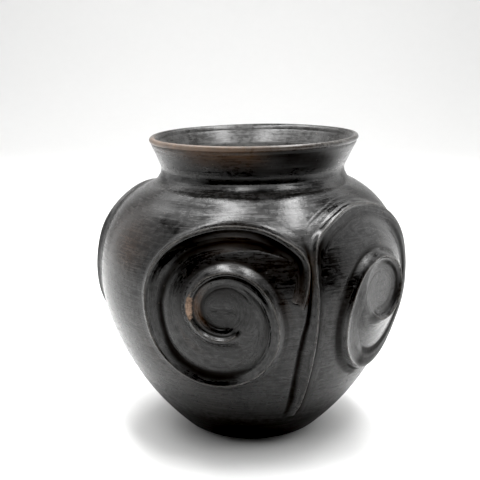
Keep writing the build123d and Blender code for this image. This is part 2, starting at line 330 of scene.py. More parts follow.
def section(points, blur):
    p = np.array(points, float)
    n = int(3 * blur / 0.05)
    k = np.exp(-0.5 * (np.arange(-n, n + 1) * 0.05 / blur) ** 2)
    h = np.interp(W_AXIS, p[:, 0], p[:, 1])
    return np.convolve(np.pad(h, n, mode="edge"), k / k.sum(), mode="valid")


OUTSIDE = [(-9.3, 0), (-7, 0.05), (-5, 0.28), (-3.5, 0.75), (-2.2, 1.5), (-1.2, 2.4), (-0.45, 3.2), (0, 3.55)]
GROOVED = [(-9.6, 0.05), (-8.6, 0.25), (-7.8, 0.1), (-7.2, -0.02), (-6.6, 0.25), (-5.2, 0.9), (-3.6, 1.75), (-3.0, 1.85), (-2.5, 2.0), (-1.4, 2.85), (-0.5, 3.35), (0, 3.5)]
INSIDE_TOP = [(0.18, 3.4), (0.4, 2.6), (0.7, 1.75), (1.0, 1.4), (1.5, 1.32), (3.2, 1.15), (5.0, 0.9), (6.0, 0.5), (7.0, 0.0), (7.8, -0.14),
              (8.6, -0.15), (9.6, -0.07), (10.8, 0), (12.4, 0)]
LIP_TOP = section(OUTSIDE + INSIDE_TOP, 0.16)
LIP_GROOVE = section(GROOVED + [(0.18, 3.4), (0.4, 2.7), (0.75, 2.0), (1.1, 1.75), (1.8, 1.6), (2.8, 1.2), (4.0, 0.55), (5.2, 0.15), (6.5, 0), (12.4, 0)], 0.2)
LIP_PLAIN = section(
    OUTSIDE + [(0.2, 3.4), (0.5, 2.6), (1.0, 1.4), (1.5, 0.6), (2.2, 0.15), (3.2, 0), (12.4, 0)], 0.17)
LIP_SIDE = section(
    OUTSIDE + [(0.18, 3.4), (0.45, 2.75), (0.8, 2.25), (1.2, 2.08), (1.9, 2.12), (3.2, 2.0), (4.0, 1.8), (4.6, 1.68), (5.2, 1.6), (6.4, 1.0), (7.6, 0.3),
               (8.8, -0.25), (10.0, -0.55), (11.0, -0.6), (12.4, -0.42), (14.0, -0.14), (15.6, 0)], 0.18)
INSIDE_RIGHT = [(0.18, 3.4), (0.4, 2.7), (0.75, 2.0), (1.1, 1.75), (1.8, 1.6), (2.8, 1.2), (4.0, 0.55), (5.2, 0.15), (6.5, 0), (12.4, 0)]
LIP_RIGHT = section(OUTSIDE + INSIDE_RIGHT, 0.18)
LIP_WIDE = section(
    OUTSIDE + [(0.15, 3.45), (0.5, 3.25), (1.0, 3.1), (3.0, 2.75), (5.0, 2.2), (6.0, 1.6), (6.8, 0.8), (7.6, 0.2), (8.6, -0.1), (10, -0.1),
               (12, 0)], 0.25)
LIP_LOW = section(
    OUTSIDE[:-1] + [(0, 3.7), (0.15, 3.6), (0.5, 3.3), (1.2, 2.65), (2.2, 1.75), (3.2, 0.9), (4.2, 0.15), (5.2, -0.3), (6.5, -0.56),
                    (8.0, -0.5), (9.6, -0.22), (11.6, 0), (12.4, 0)], 0.22)
ROLL = section(
    [(-9.3, 0), (-6.8, 0.1), (-4.8, 0.5), (-3.0, 1.2), (-1.5, 2.1), (-0.5, 2.85), (0, 3.15), (0.35, 3.1), (1.6, 2.85),
     (3.6, 2.5), (4.0, 2.25), (4.4, 1.2), (4.8, 0.45), (5.3, 0.25), (5.9, 0.45), (6.6, 0.4), (8.5, 0.12), (10, 0.02), (12.4, 0)], 0.14)
ROLL_SHARP = section(
    [(-9.3, 0), (-7.2, 0.05), (-5.2, 0.35), (-3.3, 0.95), (-1.8, 1.85), (-0.7, 2.75), (0, 3.3), (0.35, 3.1), (1.0, 2.3),
     (2.0, 1.6), (3.5, 1.05), (5.5, 0.6), (8, 0.25), (10.5, 0), (12.4, 0)], 0.15)
INNER = section(
    [(-9.3, 0), (-5.8, 0), (-5.0, 0.15), (-4.1, 0.8), (-2.9, 1.7), (-1.7, 2.5), (-0.7, 3.0), (-0.1, 3.2), (0.15, 3.1),
     (0.45, 2.45), (0.8, 1.7), (1.2, 1.25), (1.7, 1.08), (2.2, 1.16), (2.8, 1.2), (4.2, 0.92), (4.7, 0.6), (5.2, 0.2),
     (5.8, 0.05), (7.5, 0), (12.4, 0)], 0.13)
INNER_RIGHT = section(
    [(-9.3, 0), (-5.8, 0), (-5.0, 0.15), (-4.1, 0.8), (-2.9, 1.7), (-1.7, 2.5), (-0.7, 3.0), (-0.1, 3.2), (0.15, 3.1),
     (0.4, 2.5), (0.8, 1.75), (1.4, 1.2), (2.4, 0.78), (3.8, 0.42), (5.5, 0.15), (7.5, 0), (12.4, 0)], 0.14)
TAIL = section(
    [(-9.3, 0), (-5, 0.05), (-3, 0.45), (-1.2, 0.95), (-0.2, 1.15), (0.4, 0.8), (0.9, 0.05), (1.4, -0.25), (2.0, 0.1),
     (2.8, 0.3), (3.6, 0.25), (4.2, 0.0), (5, 0), (12.4, 0)], 0.16)
STEM = section(
    [(-12.4, 0), (-11.6, -0.1), (-10.6, -0.28), (-9.6, -0.4), (-8.8, -0.36), (-8.0, -0.1), (-7.0, 0.38), (-6.0, 0.9), (-5.0, 1.38), (-4.0, 1.8), (-3.0, 2.18), (-1.2, 2.75), (-0.4, 3.0),
     (-0.05, 3.08), (0.2, 2.85), (0.7, 1.7), (1.2, 0.7), (2.0, 0.15), (4, 0), (12.4, 0)], 0.16)
FORK = section(
    [(-9.6, 0), (-5.5, 0), (-4.2, 0.15), (-3.0, 0.5), (-2.0, 1.15), (-1.0, 2.35), (-0.3, 3.1), (0, 3.25), (0.3, 3.0),
     (0.8, 2.1), (1.5, 1.1), (2.4, 0.4), (3.6, 0.08), (5, 0), (12.4, 0)], 0.16)
FORK_LEFT = section(
    [(-9.6, -0.45), (-2.5, -0.45), (-2.0, -0.2), (-1.3, 0.9), (-0.6, 2.5), (0, 3.25), (0.35, 3.05), (0.9, 2.1), (1.6, 1.0),
     (2.3, 0.3), (3.0, -0.1), (3.9, -0.25), (5.0, -0.1), (6.0, 0), (12.4, 0)], 0.2)

W_LO, W_HI = -12.6, 15.0
W_NORM = np.concatenate([
    [-12.6, -11.6, -10.7, -9.9, -9.2, -8.6, -8.0, -7.5, -7.0, -6.5, -6.0, -5.5, -5.0, -4.6, -4.2, -3.8, -3.45, -3.1, -2.75, -2.4, -2.1, -1.85],
    np.arange(-1.6, -0.59, 0.25), np.arange(-0.45, 1.01, 0.14), np.arange(1.2, 2.81, 0.22),
    np.arange(3.1, 9.6, 0.3), [10.0, 10.5, 11.1, 11.7, 12.4, 13.2, 14.0, 15.0],
])


def w_limits(v):
    """How far a strip reaches to either side of its crest: less inside where the spiral tightens."""
    turn = v["turn"]
    high = np.interp(turn, [-26, -12, 4, 34, 80, 190, 240, 285, 390, 520, 600, 660], [8.4, 6.6, 6.4, 12.4, 18.5, 18.5, 14.0, 12.0, 9.0, 7.4, 6.0, 4.6])
    low = -np.interp(turn, [0, 25, 300, 360], [7.0, 9.6, 9.6, 8.0])
    if v["hand"] < 0:
        low = np.where(turn < 0, np.interp(v["z"], [106.0, 118.0], [-12.6, -7.0]), low)
    else:
        low = np.where(turn < 2, np.interp(turn, [-14, 2], [-2.6, -7.0]), low)
    return low[:, None], high[:, None]


def w_grid(v):
    low, high = w_limits(v)
    w = np.broadcast_to(W_NORM, (len(v["turn"]), len(W_NORM)))
    w = np.where(w > 2.8, 2.8 + (w - 2.8) * (high - 2.8) / (W_HI - 2.8), w)
    return np.where(w < -1.85, -1.85 + (w + 1.85) * (low + 1.85) / (W_LO + 1.85), w)


def boss_height(rho, scale):
    """Thin pad under the middle of a volute, hollowed to a shallow dish."""
    x = rho / scale
    dish = -0.45 + 1.75 * np.clip(x / 16.0, 0, 1) ** 2
    return dish * (1 - ramp(x, 16.5, 26.5))


def dish_polar(v, tt, pp):
    """Distance and bearing of surface points from the middle of a volute."""
    r, z = np.interp(tt, PT, PR), np.interp(tt, PT, PZ)
    u = (r + CREST_LIFT * 0.5) * np.sin(pp - v["az"]) * v["hand"] - BOSS_CENTRE[0] * v["scale"]
    w = z - v["zc"] - BOSS_CENTRE[1] * v["scale"]
    return np.hypot(u, w), np.arctan2(w, u)


def side_w(v, w):
    """Distance inside the left lips, drawn out where their hollow runs closer to the crest."""
    return np.where(w > 0, w * np.interp(v["turn"], [100, 125, 150, 185], [1.0, 1.08, 1.35, 1.7])[:, None], w)


def ridge_height(v, w):
    turn, z, s = v["turn"][:, None], v["z"][:, None], v["s"][:, None]

    def at(table):
        return np.interp(w, W_AXIS, table)

    h = mix(at(LIP_PLAIN), at(LIP_TOP if v["hand"] > 0 else LIP_RIGHT), ramp(turn, 8, 34))
    if v["hand"] < 0:
        h = mix(h, at(LIP_GROOVE), ramp(turn, 14, 30) * (1 - ramp(turn, 44, 62)))
    if v["name"] == "front_right":
        wide = np.where(w > 0, w * np.interp(turn, [120, 180], [1.0, 0.74]), w)
        h = mix(h, np.interp(wide, W_AXIS, LIP_WIDE), ramp(turn, 52, 88))
    else:
        h = mix(h, np.interp(side_w(v, w), W_AXIS, LIP_SIDE), ramp(turn, 62, 108))
        h = mix(h, at(LIP_LOW), ramp(turn, 150, 190))
    h = mix(h, at(ROLL if v["hand"] > 0 else ROLL_SHARP), ramp(turn, 234, 284))
    h = mix(h, at(INNER if v["hand"] > 0 else INNER_RIGHT), ramp(turn, 322, 366))
    h = mix(h, at(TAIL), ramp(turn, 578, 645))
    h = h * np.interp(turn, *STRENGTH[v["name"]])
    # lips vary a little in height along their run
    h = h * (1 + (0.045 * np.sin(s / 17.0 + v["az"] * 3) + 0.025 * np.sin(s / 6.3 + 1.0)) * ramp(turn, 5, 25))
    h = h * ramp(s[-1] - s, 0.0, 7.0)
    if v["hand"] < 0:
        ws = np.where(w < 0, w * np.interp(z, STEM_Z, STEM_K), w)
        stem = mix(np.interp(ws, W_AXIS, STEM), at(FORK), ramp(z, 109.0, 118.0))
        # under the foot of the left ridge
        stem = stem - 1.3 * ramp(z, 97.0, 103.0) * (1 - ramp(ws, -10.4, -8.8)) * (1 - ramp(z, 112.0, 118.0))
        low = ramp(z, 20.5, 38.0) ** 0.8
        return mix(h, stem * low, 1 - ramp(turn, -9.0, 2.0))
    h = mix(h, at(FORK_LEFT) * mix(0.30, 1.0, ramp(z, 97.0, 114.0)), 1 - ramp(turn, -13.0, -1.0))
    return h - 1.7 * (1 - ramp(z, 89.0, 98.5)) * (turn < 0)


# Footprint of the relief, so that the wall can sit a little lower under it.
M_T0, M_T1, M_NT, M_NP = 30.0, 230.0, 500, 1400


def stamp(mask, tt, pp):
    i = np.clip(((tt - M_T0) / (M_T1 - M_T0) * (M_NT - 1)).astype(int), 0, M_NT - 1)
    j = (np.mod(pp, TAU) / TAU * M_NP).astype(int) % M_NP
    mask[i.ravel(), j.ravel()] = 1.0


def stamp_ridge(mask, v):
    k = np.linspace(0, 1, 70)
    low, high = w_limits(v)
    low, high = low + 2.7, high - 2.7
    tt, pp = across(v, low + (high - low) * k)
    live = ((v["s"][-1] - v["s"]) > 5.0) & ((v["z"] > 28.0) if v["hand"] < 0 else ((v["z"] > 98.0) | (v["turn"] > 0)))
    stamp(mask, tt[live], pp[live])


def blur_mask(m, n):
    for _ in range(n):
        m = 0.25 * (np.roll(m, 1, 1) + np.roll(m, -1, 1)) + 0.5 * m
        up, down = np.vstack([m[:1], m[:-1]]), np.vstack([m[1:], m[-1:]])
        m = 0.25 * (up + down) + 0.5 * m
    return m


def sample_mask(mask, tt, pp):
    a = np.clip((tt - M_T0) / (M_T1 - M_T0) * (M_NT - 1), 0, M_NT - 1.001)
    b = np.mod(pp, TAU) / TAU * M_NP - 0.5
    i, j = np.floor(a).astype(int), np.floor(b).astype(int)
    fa, fb = a - i, b - j
    j0, j1 = np.mod(j, M_NP), np.mod(j + 1, M_NP)
    return (
        mask[i, j0] * (1 - fa) * (1 - fb) + mask[i + 1, j0] * fa * (1 - fb)
        + mask[i, j1] * (1 - fa) * fb + mask[i + 1, j1] * fa * fb
    )


footprint = np.zeros((M_NT, M_NP), np.float32)
for v in volutes.values():
    stamp_ridge(footprint, v)
    rho, th = np.meshgrid(np.arange(0, 22.5 * v["scale"], 0.3), np.arange(0, TAU, 0.012))
    u = (rho * np.cos(th) + BOSS_CENTRE[0] * v["scale"]) * v["hand"]
    w = rho * np.sin(th) + BOSS_CENTRE[1] * v["scale"]
    tt, pp = uv_to_surface(u[::4], w[::4], v["az"], v["zc"])
    stamp(footprint, tt, pp)
footprint = blur_mask(footprint, 5)


# Height of the whole relief on the same grid. Its hollows miss the burnishing stone and stay dull, and they get painted
# shade for the occlusion there.
_gt, _gp = np.meshgrid(np.linspace(M_T0, M_T1, M_NT), (np.arange(M_NP) + 0.5) / M_NP * TAU, indexing="ij")
ground = np.zeros((M_NT, M_NP))
strips = np.full((M_NT, M_NP), -9.0)
for v in volutes.values():
    rho, _ = dish_polar(v, _gt, _gp)
    ground = np.where(np.cos(_gp - v["az"]) > 0.5, ground + boss_height(rho, v["scale"]), ground)
    s_fine = np.arange(0.0, v["s"][-1], 0.22)
    s_fine = s_fine[(np.interp(s_fine, v["s"], v["z"]) > 99.0) | (np.interp(s_fine, v["s"], v["turn"]) > 0)] if v["hand"] > 0 else s_fine
    path = dict(v, s=s_fine, **{key: np.interp(s_fine, v["s"], v[key]) for key in ("t", "phi", "turn", "z")})
    low, high = w_limits(path)
    low, high = low + 1.5, high - 1.5
    w = low + (high - low) * np.linspace(0, 1, 130)
    tt, pp = across(path, w)
    rho, _ = dish_polar(v, tt, pp)
    h = ridge_height(path, w) + boss_height(rho, v["scale"])
    i = np.clip(((tt - M_T0) / (M_T1 - M_T0) * (M_NT - 1)).astype(int), 0, M_NT - 1)
    j = (np.mod(pp, TAU) / TAU * M_NP).astype(int) % M_NP
    np.maximum.at(strips, (i.ravel(), j.ravel()), h.ravel())
relief_map = np.where(strips > -8.0, strips, ground)
hollows = 0.7 * (blur_mask(relief_map, 90) - relief_map) + 0.6 * (blur_mask(relief_map, 14) - relief_map)
hollows = blur_mask(np.clip(hollows, -1.0, 1.0), 2)


T_FLOOR = float(t_of_z(126.0))


def hollow_at(tt, pp):
    """Painted-shade mask: from -1 on a sharp crest to 1 at the bottom of a hollow, where the clay is also left dull;
    also painted shade at the neck crease, over the neck, in the groove under the lip, above the front curls and towards
    the foot.
    """
    h = sample_mask(hollows, tt, pp)
    patchy = 0.75 + 0.25 * np.sin(3 * pp + 1.0) * np.sin(0.35 * tt + 2 * np.sin(2 * pp))
    a = np.degrees(np.mod(pp - CAM_AZ + math.pi, TAU) - math.pi)
    # painted shade along the crease at the foot of the neck, strongest at front and back; then over the neck up to the
    # lip, heavier on its right front; and in the groove under the lip
    crease = 0.34 * (1 - 0.8 * ramp(np.abs(a), 24, 46) * (1 - ramp(np.abs(a), 90, 120)))
    collar = 0.36 + 0.32 * ramp(a, -12, 22) * (1 - ramp(a, 40, 66))
    h = h + crease * np.exp(-(((tt - T_NECK + 1.0) / 3.0) ** 2)) + 0.5 * np.exp(-(((tt - T_END + 1.0) / 0.6) ** 2)) * patchy
    h = h + collar * ramp(tt, T_NECK - 1.0, T_NECK + 4.0) * (1 - ramp(tt, T_END - 2.5, T_END - 0.5)) * patchy
    # painted shade in a patch at the front of the jar, over the upper floor of the front volutes
    h = h + 0.30 * np.exp(-(((a - 4.0) / 17.0) ** 2) - ((tt - T_FLOOR) / 4.5) ** 2)
    # painted shade, darker towards the foot
    return np.clip(h + 1.0 * (1 - ramp(tt, 38.0, 112.0)), -1, 1)


# ------------------------------------------------------------------ stains and damage
def rim_stain(t, phi, outer):
    """Brown of the oxidised lip, and of the neck below it, on one side of the jar."""
    a = np.degrees(np.mod(phi - CAM_AZ + math.pi, TAU) - math.pi)
    side = ramp(a, -104, -70) * (1 - 0.72 * ramp(a, -24, -2)) * (1 - 0.9 * ramp(a, 5, 45)) * (1 - ramp(a, 80, 110))
    lip = side * ramp(t, T_END - 1.0, T_END - 0.2)
    low = ramp(a, -50, -28) * (1 - ramp(a, -8, 14))
    left = 0.45 * ramp(a, -100, -60) * (1 - ramp(a, -50, -28))
    neck = (low * ramp(t, T_END - 14, T_END - 3) + left * ramp(t, T_END - 9, T_END - 2)) * outer
    return np.clip(neck, 0, 1), np.clip(lip, 0, 1)


def near(xyz, centre, radius):
    d = np.linalg.norm(xyz - np.array(centre), axis=-1)
    return np.exp(-((d / radius) ** 2))


def wall_stain(xyz):
    """Faint reddish and brown clouds left by the firing."""
    return np.clip(
        0.26 * near(xyz, (-82.7, -26.1, 118.7), 11.0) + 0.22 * near(xyz, (-84.0, -14.0, 124.0), 20.0) + 0.35 * near(xyz, (-70.0, -52.0, 70.0), 16.0)
        + 0.4 * near(xyz, (60.0, 58.0, 120.0), 20.0) + 0.35 * near(xyz, (-20.0, 78.0, 64.0), 18.0), 0, 1)


# ------------------------------------------------------------------ mesh making
def add_mesh(name, verts, quads, tris, attrs, sharp=40.0):
    me = bpy.data.meshes.new(name)
    verts = np.asarray(verts, np.float32) * MM
    quads = np.asarray(quads, np.int32).reshape(-1, 4)
    tris = np.asarray(tris, np.int32).reshape(-1, 3)
    me.vertices.add(len(verts))
    me.vertices.foreach_set("co", verts.ravel())
    corners = np.concatenate([quads.ravel(), tris.ravel()])
    starts = np.concatenate([np.arange(len(quads)) * 4, len(quads) * 4 + np.arange(len(tris)) * 3])
    me.loops.add(len(corners))
    me.loops.foreach_set("vertex_index", corners.astype(np.int32))
    me.polygons.add(len(starts))
    me.polygons.foreach_set("loop_start", starts.astype(np.int32))
    me.update(calc_edges=True)
    me.polygons.foreach_set("use_smooth", np.ones(len(starts), bool))
    for key, data in attrs.items():
        data = np.asarray(data, np.float32)
        if data.ndim == 2:
            layer = me.attributes.new(key, "FLOAT_VECTOR", "POINT")
            layer.data.foreach_set("vector", data.ravel())
        else:
            layer = me.attributes.new(key, "FLOAT", "POINT")
            layer.data.foreach_set("value", data)
    me.set_sharp_from_angle(angle=math.radians(sharp))
    ob = bpy.data.objects.new(name, me)
    bpy.context.scene.collection.objects.link(ob)
    return ob


def grid_faces(rows, cols, wrap_cols, base=0, flip=False):
    i = np.arange(rows - 1)[:, None]
    j = np.arange(cols if wrap_cols else cols - 1)[None, :]
    jn = (j + 1) % cols
    q = np.stack([i * cols + j, i * cols + jn, (i + 1) * cols + jn, (i + 1) * cols + j], axis=-1).reshape(-1, 4) + base
    return q[:, ::-1] if flip else q


def stroke_coords(xyz, t):
    return np.stack([xyz[..., 0] * 0.1, xyz[..., 1] * 0.1, t], axis=-1)


COLS = 840
PHI = (np.arange(COLS) + 0.5) / COLS * TAU


def span(a, b, step):
    n = max(2, int(abs(b - a) / step) + 1)
    d = 0.05 if b > a else -0.05
    return np.concatenate([[a, a + d], np.linspace(a, b, n)[1:-1], [b - d, b]])


def wall_piece(name, low, high, step=0.8):
    """A course of the wall, from outer joint low to high; None closes it at the axis or over the lip."""
    t_low = 0.0 if low is None else low
    t_high = T_END if high is None else high
    out = span(t_low, t_high, step)
    rows_t, rows_d, rows_cap = [out], [np.zeros(len(out))], [np.zeros(len(out))]
    if high is None:
        ang = np.linspace(0, math.pi, 17)[1:-1]
        rows_t.append(np.full(len(ang), T_END))
        rows_d.append(np.zeros(len(ang)))
        rows_cap.append(ang)
    in_high = t_high if high is None else t_high - 0.8 * float(thick(t_high))
    in_low = 0.0 if low is None else t_low - 0.8 * float(thick(t_low))
    ins = span(in_high, in_low, 1.6 if t_high < T_NECK - 6 else 0.9)
    rows_t.append(ins)
    rows_d.append(np.ones(len(ins)))
    rows_cap.append(np.zeros(len(ins)))
    t = np.concatenate(rows_t)
    T, P = np.meshgrid(t, PHI, indexing="ij")
    D = np.concatenate(rows_d)[:, None] * np.ones_like(P)
    CAP = np.concatenate(rows_cap)[:, None] * np.ones_like(P)
    h = undulate(T, P) + fillet(T, P)
    h = np.where(D > 0.5, -thick(T) + 0.6 * undulate(T + 90.0, P + 2.0), h - 1.9 * sample_mask(footprint, T, P))
    # the rolled lip
    roll = CAP > 0
    half = LIP / 2
    h = np.where(roll, h - half * (1 - np.cos(CAP)), h)
    xyz = place(T, P, h)
    if high is None:
        r, z, nr, nz = prof(T_END)
        rise = np.where(roll, half * np.sin(CAP), 0.0)
        xyz[..., 0] += -rise * float(nz) * np.sin(P)
        xyz[..., 1] += rise * float(nz) * np.cos(P)
        xyz[..., 2] += rise * float(nr)
    rows = len(t)
    tris = np.zeros((0, 3), int)
    st = stroke_coords(xyz, np.where(D > 0.5, T + 400.0, T))
    brown, lip = rim_stain(T, P, 1 - D)
    lip = np.where(roll, np.maximum(lip, rim_stain(np.full_like(T, T_END), P, 1 - D)[1] * (0.55 + 0.45 * np.cos(CAP) ** 2)), lip)
    brown = np.maximum(brown, wall_stain(xyz) * (1 - D))
    # interior grey inside the jar; outside, a faint painted reflection: a lighter band of that grey on the shoulder
    # just below the neck ring
    inside_and_lit_band = D * (1 - 0.85 * ramp(xyz[..., 2], 155.0, 167.0)) + (1 - D) * 0.10 * np.exp(-(((T - T_RING + 6.0) / 3.4) ** 2))
    # lighter colour along the top of the rolled lip: rubbed wear plus a painted highlight
    edge = np.where(roll, np.sin(CAP), 0)
    attrs = {
        "st": st.reshape(-1, 3), "sr": st.reshape(-1, 3), "kr": np.zeros(rows * COLS),
        "stain": np.stack([brown, lip, np.zeros_like(T)], -1).reshape(-1, 3),
        "wear_and_sheen": np.stack([np.clip(edge, 0, 1) * 0.7, np.zeros_like(T), inside_and_lit_band], -1).reshape(-1, 3),
        "hollow": np.where((D > 0.5) | roll, 0.0, hollow_at(T, P)).ravel(),
    }
    verts = xyz.reshape(-1, 3)
    if low is None:
        # the axis ends of the pad close in one point each
        last = (rows - 1) * COLS
        quads = grid_faces(rows - 2, COLS, True, base=COLS)
        verts = np.concatenate([verts, [[0, 0, xyz[0, 0, 2]]], [[0, 0, xyz[-1, 0, 2]]]])
        a, b = rows * COLS, rows * COLS + 1
        j = np.arange(COLS)
        jn = (j + 1) % COLS
        tris = np.concatenate([
            np.stack([np.full(COLS, a), COLS + jn, COLS + j], 1),
            np.stack([np.full(COLS, b), (rows - 2) * COLS + j, (rows - 2) * COLS + jn], 1),
        ])
        keep = np.ones(len(verts), bool)
        keep[:COLS] = False
        keep[last : last + COLS] = False
        new = np.cumsum(keep) - 1
        quads, tris = new[quads], new[tris]
        for key in attrs:
            data = attrs[key]
            attrs[key] = np.concatenate([data, np.zeros((2,) + data.shape[1:])])[keep]
        verts = verts[keep]
    else:
        quads = grid_faces(rows, COLS, True)
        j = np.arange(COLS)
        jn = (j + 1) % COLS
        close = np.stack([(rows - 1) * COLS + j, (rows - 1) * COLS + jn, jn, j], 1)
        quads = np.concatenate([quads, close])
    return add_mesh(name, verts, quads, tris, attrs)


def strip_piece(name, v, rows, w, top_h, index, kr, stain, wear_and_sheen, painted_shade_patch):
    """A closed strip of clay lying on the wall along a stretch of a crest line."""
    tt, pp = across(v, w)
    tt, pp, w, top_h = tt[rows], pp[rows], w[rows], top_h[rows]
    n, m = w.shape
    und = undulate(tt, pp) + fillet(tt, pp)
    top = place(tt, pp, top_h + und)
    low_w = [0, m // 3, 2 * m // 3, m - 1]
    bottom = place(tt[:, low_w], pp[:, low_w], und[:, low_w] - 2.6)
    verts = np.concatenate([top.reshape(-1, 3), bottom.reshape(-1, 3)])
    k = len(low_w)
    b0 = n * m
    flip = v["hand"] > 0
    quads = [grid_faces(n, m, False, flip=flip), grid_faces(n, k, False, base=b0, flip=not flip)]
    i = np.arange(n - 1)
    own = [0 if x < m // 6 else 1 if x < m // 2 else 2 if x < 5 * m // 6 else 3 for x in range(m)]
    side0 = np.stack([i * m, (i + 1) * m, b0 + (i + 1) * k, b0 + i * k], 1)
    side1 = np.stack([i * m + m - 1, b0 + i * k + k - 1, b0 + (i + 1) * k + k - 1, (i + 1) * m + m - 1], 1)
    quads += [side0[:, ::-1], side1[:, ::-1]] if flip else [side0, side1]
    tris = []
    for row in (0, n - 1):
        a = row * m + np.arange(m)
        b = b0 + row * k + np.arange(k)
        # fan each stretch of the top edge on to the nearest lower corner
        f = []
        for x in range(m - 1):
            f.append((a[x], b[own[x]], a[x + 1]))
            if own[x + 1] != own[x]:
                f.append((b[own[x]], b[own[x + 1]], a[x + 1]))
        f = np.array(f)
        tris.append(f[:, ::-1] if (row == 0) == flip else f)
    st = stroke_coords(verts, np.concatenate([tt.ravel(), tt[:, low_w].ravel()]))
    S = np.broadcast_to(v["s"][rows][:, None], (n, m))
    sr = np.stack([S * 0.1, np.full((n, m), 37.0 * index), w], -1)
    kr, stain, wear_and_sheen = kr[rows], stain[rows], wear_and_sheen[rows]

    def both(a):
        tail = a.shape[2:]
        return np.concatenate([a.reshape((-1,) + tail), a[:, low_w].reshape((-1,) + tail)])

    # the hollow attribute holds the painted-shade mask plus this volute's painted-shade patches
    attrs = {"st": st, "sr": both(sr), "kr": both(kr), "stain": both(stain), "wear_and_sheen": both(wear_and_sheen), "hollow": both(np.clip(hollow_at(tt, pp) + painted_shade_patch[rows], -1, 1))}
    return add_mesh(name, verts, np.concatenate(quads), np.concatenate(tris), attrs, sharp=60.0)


def boss_piece(name, v, index):
    rings = np.concatenate([[0.02], np.arange(0.8, 27.6, 0.8)]) * v["scale"]
    n = 300
    rho, ang = np.meshgrid(rings, np.arange(n) / n * TAU, indexing="ij")
    u = (rho * np.cos(ang) + BOSS_CENTRE[0] * v["scale"]) * v["hand"]
    w = rho * np.sin(ang) + BOSS_CENTRE[1] * v["scale"]
    tt, pp = uv_to_surface(u, w, v["az"], v["zc"])
    und = undulate(tt, pp) + fillet(tt, pp)
    own = np.zeros((M_NT, M_NP), np.float32)
    stamp_ridge(own, v)
    own = blur_mask(own, 5)
    top = place(tt, pp, boss_height(rho, v["scale"]) - 1.2 * sample_mask(own, tt, pp) + und)
    m = len(rings)
    bot_rows = [0, m // 2, m - 1]
    bottom = place(tt[bot_rows], pp[bot_rows], und[bot_rows] - 2.7)
    verts = np.concatenate([top.reshape(-1, 3), bottom.reshape(-1, 3)])
    flip = v["hand"] < 0
    b0 = m * n
    quads = [grid_faces(m, n, True, flip=not flip), grid_faces(3, n, True, base=b0, flip=flip)]
    j = np.arange(n)
    jn = (j + 1) % n
    side = np.stack([(m - 1) * n + j, b0 + 2 * n + j, b0 + 2 * n + jn, (m - 1) * n + jn], 1)
    quads.append(side[:, ::-1] if flip else side)
    verts = np.concatenate([verts, [top[0].mean(0)], [bottom[0].mean(0)]])
    a, b = len(verts) - 2, len(verts) - 1
    fan_top = np.stack([np.full(n, a), j, jn], 1)
    fan_bot = np.stack([np.full(n, b), b0 + jn, b0 + j], 1)
    if flip:
        fan_top, fan_bot = fan_top[:, ::-1], fan_bot[:, ::-1]
    st = stroke_coords(verts, np.concatenate([tt.ravel(), tt[bot_rows].ravel(), [tt[0, 0]], [tt[0, 0]]]))
    sr = np.stack([rho * np.cos(ang) * 0.12, rho * np.sin(ang) * 0.12 + 37.0 * index, rho], -1)
    sr = np.concatenate([sr.reshape(-1, 3), sr[bot_rows].reshape(-1, 3), np.zeros((2, 3))])
    zero = np.zeros((len(verts), 3))
    hollow = hollow_at(tt, pp)
    # painted shade over the upper half of the dish in the left-hand volutes
    if v["hand"] > 0:
        hollow = np.clip(hollow + 0.24 * ramp(rho * np.sin(ang), 1.0, 11.0) * (1 - ramp(rho, 15.0, 19.0)), -1, 1)
    hollow = np.concatenate([hollow.ravel(), hollow[bot_rows].ravel(), [hollow[0, 0]] * 2])
    return add_mesh(name, verts, np.concatenate(quads), np.concatenate([fan_top, fan_bot]),
                    {"st": st, "sr": sr, "kr": np.concatenate([ramp(rho, 2.5, 9.0).ravel(), ramp(rho, 2.5, 9.0)[bot_rows].ravel(), [0.0, 0.0]]), "stain": zero, "wear_and_sheen": zero, "hollow": hollow}, sharp=60.0)


pieces = {}
JOINT = {k: float(t_of_z(z)) for k, z in dict(pad=3.0, bowl=50.0, c1=73.0, c2=97.0, c3=119.0, c4=137.0, sh=152.0, rim=169.0).items()}
pieces["base_pad"] = wall_piece("base_pad_clay", None, JOINT["pad"])
pieces["lower_bowl"] = wall_piece("lower_bowl_clay", JOINT["pad"], JOINT["bowl"])
pieces["coil_course_1"] = wall_piece("coil_course_1_clay", JOINT["bowl"], JOINT["c1"])
pieces["coil_course_2"] = wall_piece("coil_course_2_clay", JOINT["c1"], JOINT["c2"])
pieces["coil_course_3"] = wall_piece("coil_course_3_clay", JOINT["c2"], JOINT["c3"])
pieces["coil_course_4"] = wall_piece("coil_course_4_clay", JOINT["c3"], JOINT["c4"])
pieces["shoulder_course"] = wall_piece("shoulder_course_clay", JOINT["c4"], JOINT["sh"], 0.6)
pieces["neck_collar"] = wall_piece("neck_collar_clay", JOINT["sh"], JOINT["rim"], 0.45)
pieces["rim_coil"] = wall_piece("rim_coil_clay", JOINT["rim"], None, 0.45)

